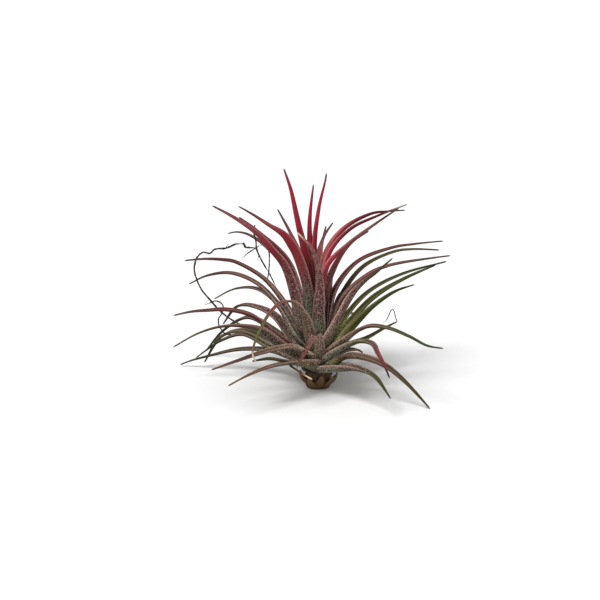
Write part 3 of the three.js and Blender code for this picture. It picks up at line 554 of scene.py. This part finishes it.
def add_leaf(surface, style, wide, line, side, length, seed):
    """One leaf: a channelled blade with a thick middle and thin edges, swept along its line."""
    rng = np.random.default_rng(seed)
    steps = len(line) - 1
    t = np.linspace(0, 1, steps + 1)
    paleness = min(1, STYLES[style][0] / SCALY_SHARE)
    widths = widths_along(wide, t)
    frames = frames_along(line, side)
    sway = waves(rng, t, SWAY)
    nod = waves(rng, t, NOD)
    breadth = 1 + waves(rng, t, BREADTH_WAVE)
    u = np.sin(np.linspace(-math.pi / 2, math.pi / 2, SECTION_POINTS))
    x = np.concatenate([u, u[::-1]])
    upper = np.concatenate([np.zeros(SECTION_POINTS), np.ones(SECTION_POINTS)])
    points, coords, data = [], [], []
    for i in range(steps):
        width = widths[i] * breadth[i]
        depth = max(width * CHANNEL_DEPTH, LEAST_DEPTH)
        thick = max(width * LEAF_THICKNESS, min(width, LEAST_THICKNESS))
        half = width / 2
        low = depth * (np.abs(x) ** KEEL_POWER - KEEL_DROP)
        body = EDGE_THICKNESS + (thick - EDGE_THICKNESS) * (1 - x**2)
        over = low + upper * body
        across, lift = frames[i]
        middle = line[i] + across * sway[i] + lift * nod[i]
        points.append(middle + np.outer(x * half, across) + np.outer(over, lift))
        along = np.full_like(x, t[i] * length)
        coords.append(np.stack([x * half, along, seed * LEAF_SHIFT + upper * FACE_SHIFT], 1))
        rim = np.clip(1 - half * (1 - np.abs(x)) / min(RIM_WIDTH, RIM_SHARE * half), 0, 1)
        data.append(np.stack([np.full_like(x, t[i]), rim * paleness, np.zeros_like(x)], 1))
    points.append(line[-1:] + frames[-1][0] * sway[-1] + frames[-1][1] * nod[-1])
    coords.append(np.array([[0, length, seed * LEAF_SHIFT]]))
    data.append(np.array([[1, 0, 0]]))
    shares = np.concatenate([np.repeat(t[:-1], len(x)), [1]])
    skins = skin_along(style, shares)
    skins[:, :3] *= np.clip(1 + TINT_SPREAD * rng.normal(), *TINT_LIMITS)
    surface.add(np.vstack(points), pointed_faces(steps, len(x)), skins, np.vstack(coords), np.vstack(data))


def side_of(reach, turned):
    """The level direction across a leaf that reaches that way, once its back is turned to the front."""
    away = math.atan2(reach[1], reach[0])
    to_front = math.remainder(-math.pi / 2 - away, 2 * math.pi)
    away += max(-turned, min(turned, to_front))
    return np.array([-math.sin(away), math.cos(away), 0.0])


def add_row_leaf(surface, row, root_height, seed):
    style, wide, turned, points = row
    seen = np.array([seen_point(p) for p in points])
    turn = math.atan2(seen[0][1], seen[0][0])
    reach = core_radius(root_height) * ROOTING_DEPTH
    root = np.array([reach * math.cos(turn), reach * math.sin(turn), root_height])
    line, length = smooth_line(np.vstack([root, seen]), LEAF_STEPS)
    side = side_of(seen[-1] - root, math.radians(turned))
    add_leaf(surface, style, wide, line, side, length, seed)


def add_turned(surface, outline, sides, color, seed):
    """A closed round solid from its outline of (radius, height)."""
    rings = len(outline)
    turn = np.linspace(0, 2 * math.pi, sides, endpoint=False)
    points = [np.stack([r * np.cos(turn), r * np.sin(turn), np.full(sides, h)], 1) for r, h in outline]
    faces = tube_faces(rings, sides)
    faces.append(tuple(range(sides - 1, -1, -1)))
    faces.append(tuple(range((rings - 1) * sides, rings * sides)))
    points = np.vstack(points)
    around = np.tile(turn, rings) * outline[0][0]
    coords = np.stack([around, points[:, 2], np.full(len(points), seed)], 1)
    skins = np.tile([*linear(color), 0.0], (len(points), 1))
    surface.add(points, faces, skins, coords, np.zeros_like(points))


class Shader:
    """A material's node tree, with one short call for each kind of node."""

    def __init__(self, name):
        self.material = bpy.data.materials.new(name)
        self.material.use_nodes = True
        self.tree = self.material.node_tree
        self.principled = self.tree.nodes["Principled BSDF"]

    def put(self, value, socket):
        if isinstance(value, bpy.types.NodeSocket):
            self.tree.links.new(value, socket)
        elif value is not None:
            socket.default_value = value

    def attribute(self, name, output):
        node = self.tree.nodes.new("ShaderNodeAttribute")
        node.attribute_name = name
        return node.outputs[output]

    def math(self, operation, a, b=None):
        node = self.tree.nodes.new("ShaderNodeMath")
        node.operation = operation
        self.put(a, node.inputs[0])
        self.put(b, node.inputs[1])
        return node.outputs[0]

    def split(self, vector):
        node = self.tree.nodes.new("ShaderNodeSeparateXYZ")
        self.put(vector, node.inputs[0])
        return node.outputs

    def stretched(self, vector, scales):
        node = self.tree.nodes.new("ShaderNodeVectorMath")
        node.operation = "MULTIPLY"
        self.put(vector, node.inputs[0])
        node.inputs[1].default_value = scales
        return node.outputs[0]

    def noise(self, vector, detail=2.0, roughness=0.5):
        node = self.tree.nodes.new("ShaderNodeTexNoise")
        self.put(vector, node.inputs["Vector"])
        node.inputs["Scale"].default_value = 1.0
        node.inputs["Detail"].default_value = detail
        node.inputs["Roughness"].default_value = roughness
        return node.outputs["Fac"]

    def cells(self, vector):
        """The distance to the nearest of many scattered points."""
        node = self.tree.nodes.new("ShaderNodeTexVoronoi")
        self.put(vector, node.inputs["Vector"])
        node.inputs["Scale"].default_value = 1.0
        return node.outputs["Distance"]

    def ranged(self, value, low, high, to_low=0.0, to_high=1.0):
        node = self.tree.nodes.new("ShaderNodeMapRange")
        node.interpolation_type = "SMOOTHSTEP"
        self.put(value, node.inputs["Value"])
        node.inputs["From Min"].default_value = low
        node.inputs["From Max"].default_value = high
        node.inputs["To Min"].default_value = to_low
        node.inputs["To Max"].default_value = to_high
        return node.outputs["Result"]

    def mix(self, a, b, factor, blend="MIX"):
        node = self.tree.nodes.new("ShaderNodeMix")
        node.data_type = "RGBA"
        node.blend_type = blend
        self.put(factor, node.inputs["Factor"])
        self.put(a, node.inputs[6])
        self.put(b, node.inputs[7])
        return node.outputs[2]

    def bump(self, height, strength, distance, before=None):
        node = self.tree.nodes.new("ShaderNodeBump")
        node.inputs["Strength"].default_value = strength
        node.inputs["Distance"].default_value = distance
        self.put(height, node.inputs["Height"])
        self.put(before, node.inputs["Normal"])
        return node.outputs["Normal"]

    def finish(self, **sockets):
        for name, value in sockets.items():
            self.put(value, self.principled.inputs[name.replace("_", " ")])
        return self.material


def rgba(name):
    return (*linear(name), 1.0)


def leaf_material():
    """Leaf skin: streaks, wine-dark speckles, grey scales that are thickest near the base, pale edges."""
    s = Shader("leaf_skin")
    coord = s.attribute("leaf_coord", "Vector")
    share, rim = s.split(s.attribute("leaf_data", "Vector"))[:2]
    color = s.attribute("leaf_color", "Color")
    scaly = s.attribute("leaf_color", "Alpha")

    clouds = s.noise(s.stretched(coord, (0.5, 0.12, 1)))
    color = s.mix(color, CLOUD_SHADE, s.ranged(clouds, 0.45, 0.7, 0, 0.5), "MULTIPLY")
    streaks = s.noise(s.stretched(coord, (3.0, 0.14, 1)))
    color = s.mix(color, STREAK_SHADE, s.ranged(streaks, 0.5, 0.7, 0, 0.4), "MULTIPLY")

    grain = s.noise(s.stretched(coord, (4.8, 3.6, 1)))
    flecks = s.math("MULTIPLY", s.ranged(grain, 0.5, 0.6), s.ranged(scaly, 0, 0.8, 0.03, 0.75))
    color = s.mix(color, rgba("silver"), flecks)
    dots = s.cells(s.stretched(coord, (2.9, 2.3, 1.3)))
    dots = s.math("MULTIPLY", s.ranged(dots, 0.5, 0.38), s.ranged(scaly, 0, 0.6, 0.2, 0.95))
    color = s.mix(color, SPECKLE_SHADE, dots, "MULTIPLY")
    rim = s.math("MULTIPLY", rim, s.ranged(share, 0.5, 0.9, 1, 0))
    color = s.mix(color, RIM_LIGHT, rim, "ADD")

    normal = s.bump(grain, 0.5, 0.00012)
    normal = s.bump(streaks, 0.4, 0.00015, normal)
    return s.finish(
        Base_Color=color,
        Roughness=s.ranged(grain, 0.3, 0.7, 0.75, 0.55),
        Specular_IOR_Level=0.1,
        Sheen_Weight=0.02,
        Sheen_Roughness=0.5,
        Normal=normal,
    )


def bark_material(name, light, dark):
    """Dry fibrous bark: long streaks of two browns over a rough surface."""
    s = Shader(name)
    coord = s.attribute("leaf_coord", "Vector")
    fibres = s.noise(s.stretched(coord, (3.0, 0.5, 1)), 3, 0.6)
    color = s.mix(rgba(dark), rgba(light), s.ranged(fibres, 0.35, 0.7))
    color = s.mix(color, s.attribute("leaf_color", "Color"), 0.5)
    pits = s.noise(s.stretched(coord, (2, 2, 2)), 4, 0.6)
    return s.finish(
        Base_Color=color,
        Roughness=s.ranged(pits, 0.3, 0.7, 0.95, 0.75),
        Specular_IOR_Level=0.12,
        Normal=s.bump(fibres, 0.8, 0.0003, s.bump(pits, 0.5, 0.0002)),
    )


def root_piece(name, rows, material, seed):
    """Wires of uneven thickness along rows of points."""
    surface = Surface()
    turn = np.linspace(0, 2 * math.pi, ROOT_SIDES, endpoint=False)
    for number, (radius, row) in enumerate(rows):
        rng = np.random.default_rng(seed + number)
        seen = np.array([seen_point(p) for p in row])
        length = smooth_line(seen, 1)[1]
        steps = max(LEAST_ROOT_STEPS, int(length / ROOT_STEP))
        line = smooth_line(seen, steps)[0]
        t = np.linspace(0, 1, steps + 1)
        knobs = 1 + waves(rng, t, ROOT_SWELLS) + ROOT_KNOBS * rng.normal(size=steps + 1)
        size = radius * knobs * np.clip((1 - t) * length / ROOT_TAPER, ROOT_END, 1)
        frames = frames_along(line, SIGHT)
        points, coords = [], []
        for i in range(steps):
            across, lift = frames[i]
            ring = size[i] * (1 + ROOT_ROUGHNESS * rng.normal(size=ROOT_SIDES))
            ring_points = np.outer(ring * np.cos(turn), across) + np.outer(ring * np.sin(turn), lift)
            points.append(line[i] + ring_points)
            along = np.full(ROOT_SIDES, t[i] * length)
            coords.append(np.stack([turn * radius, along, np.full(ROOT_SIDES, number)], 1))
        points.append(line[-1:])
        coords.append(np.array([[0, length, number]]))
        points = np.vstack(points)
        skins = np.tile([*linear("ink"), 0.0], (len(points), 1))
        faces = pointed_faces(steps, ROOT_SIDES)
        surface.add(points, faces, skins, np.vstack(coords), np.zeros_like(points))
    made = surface.piece(name, material)
    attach(made, "root")
    return made


def tier_piece(number, tier, material):
    """One tier's slice of the core with the leaves that grow from it."""
    name, low, high, rows = tier
    surface = Surface()
    outline = [(core_radius(z), z) for z in np.linspace(low, high, CORE_RINGS)]
    # The core is near-black: painted shade for the gaps between the leaf bases, where it shows.
    add_turned(surface, outline, CORE_SIDES, "dark", number)
    for i, row in enumerate(rows):
        add_row_leaf(surface, row, (low + high) / 2, SEEDS_PER_TIER * number + i)
    made = surface.piece(name + "_blades", material)
    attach(made, "root")
    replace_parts(made, name + "_leaves")
    return made


def stem_piece(material):
    """The short stem, with the dry remains of old leaf bases round it."""
    surface = Surface()
    rng = np.random.default_rng(STEM_SEED)
    heights = np.linspace(0, STEM_OUTLINE[-1][1], STEM_RINGS)
    radii = np.interp(heights, [h for _, h in STEM_OUTLINE], [r for r, _ in STEM_OUTLINE])
    add_turned(surface, list(zip(radii, heights)), STEM_SIDES, "bark", 0)
    for i in range(SCALE_COUNT):
        turn = 2 * math.pi * i / SCALE_COUNT
        outwards = np.array([math.cos(turn), math.sin(turn), 0.0])
        lift = (i % 2) * SCALE_LIFT
        path = [outwards * r + UP * (z + lift) for r, z in SCALE_PATH]
        line, length = smooth_line(path, SCALE_STEPS)
        width = SCALE_WIDTH * (1 + SCALE_WIDTH_SPREAD * rng.normal())
        add_leaf(surface, "husk", width, line, np.cross(UP, outwards), length, i)
    made = surface.piece("stem_wood", material)
    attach(made, "root")
    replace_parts(made, "stem")
    return made


def floor():
    mesh = bpy.data.meshes.new("floor")
    corners = [(x * FLOOR_HALF, y * FLOOR_HALF, 0) for x, y in ((-1, -1), (1, -1), (1, 1), (-1, 1))]
    mesh.from_pydata(corners, [], [(0, 1, 2, 3)])
    s = Shader("floor_white")
    mesh.materials.append(s.finish(Base_Color=FLOOR_WHITE, Roughness=0.9, Specular_IOR_Level=0.0))
    made = bpy.data.objects.new("floor", mesh)
    bpy.context.scene.collection.objects.link(made)


def lights():
    world = bpy.data.worlds.new("studio")
    world.use_nodes = True
    sky = world.node_tree.nodes["Background"]
    sky.inputs["Color"].default_value = SKY_WHITE
    sky.inputs["Strength"].default_value = SKY_STRENGTH
    bpy.context.scene.world = world
    for name, energy, angle, way in SUNS:
        sun = bpy.data.lights.new(name, "SUN")
        sun.energy = energy
        sun.angle = math.radians(angle)
        made = bpy.data.objects.new(name, sun)
        bpy.context.scene.collection.objects.link(made)
        made.rotation_euler = Vector(way).to_track_quat("-Z", "Y").to_euler()


def camera():
    data = bpy.data.cameras.new("camera")
    data.sensor_width = SENSOR_WIDTH
    data.lens = SENSOR_WIDTH * EYE_DISTANCE / SCREEN_WIDTH
    made = bpy.data.objects.new("camera", data)
    bpy.context.scene.collection.objects.link(made)
    made.location = EYE * MM
    made.rotation_euler = (math.pi / 2 - EYE_ELEVATION, 0, 0)
    bpy.context.scene.camera = made


leaf_skin = leaf_material()
for number, tier in enumerate(TIERS, 1):
    tier_piece(number, tier, leaf_skin)
stem_piece(bark_material("stem_bark", "straw", "brown"))
root_skin = bark_material("root_bark", "slate", "umber")
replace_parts(root_piece("loop_root", LOOP_ROOT, root_skin, LOOP_SEED), "root_loop")
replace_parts(root_piece("curl_root", CURL_ROOT, root_skin, CURL_SEED), "root_curl")
root_piece("tip_thread", THREAD, root_skin, THREAD_SEED)
floor()
lights()
camera()
bpy.context.scene.view_settings.view_transform = "Standard"
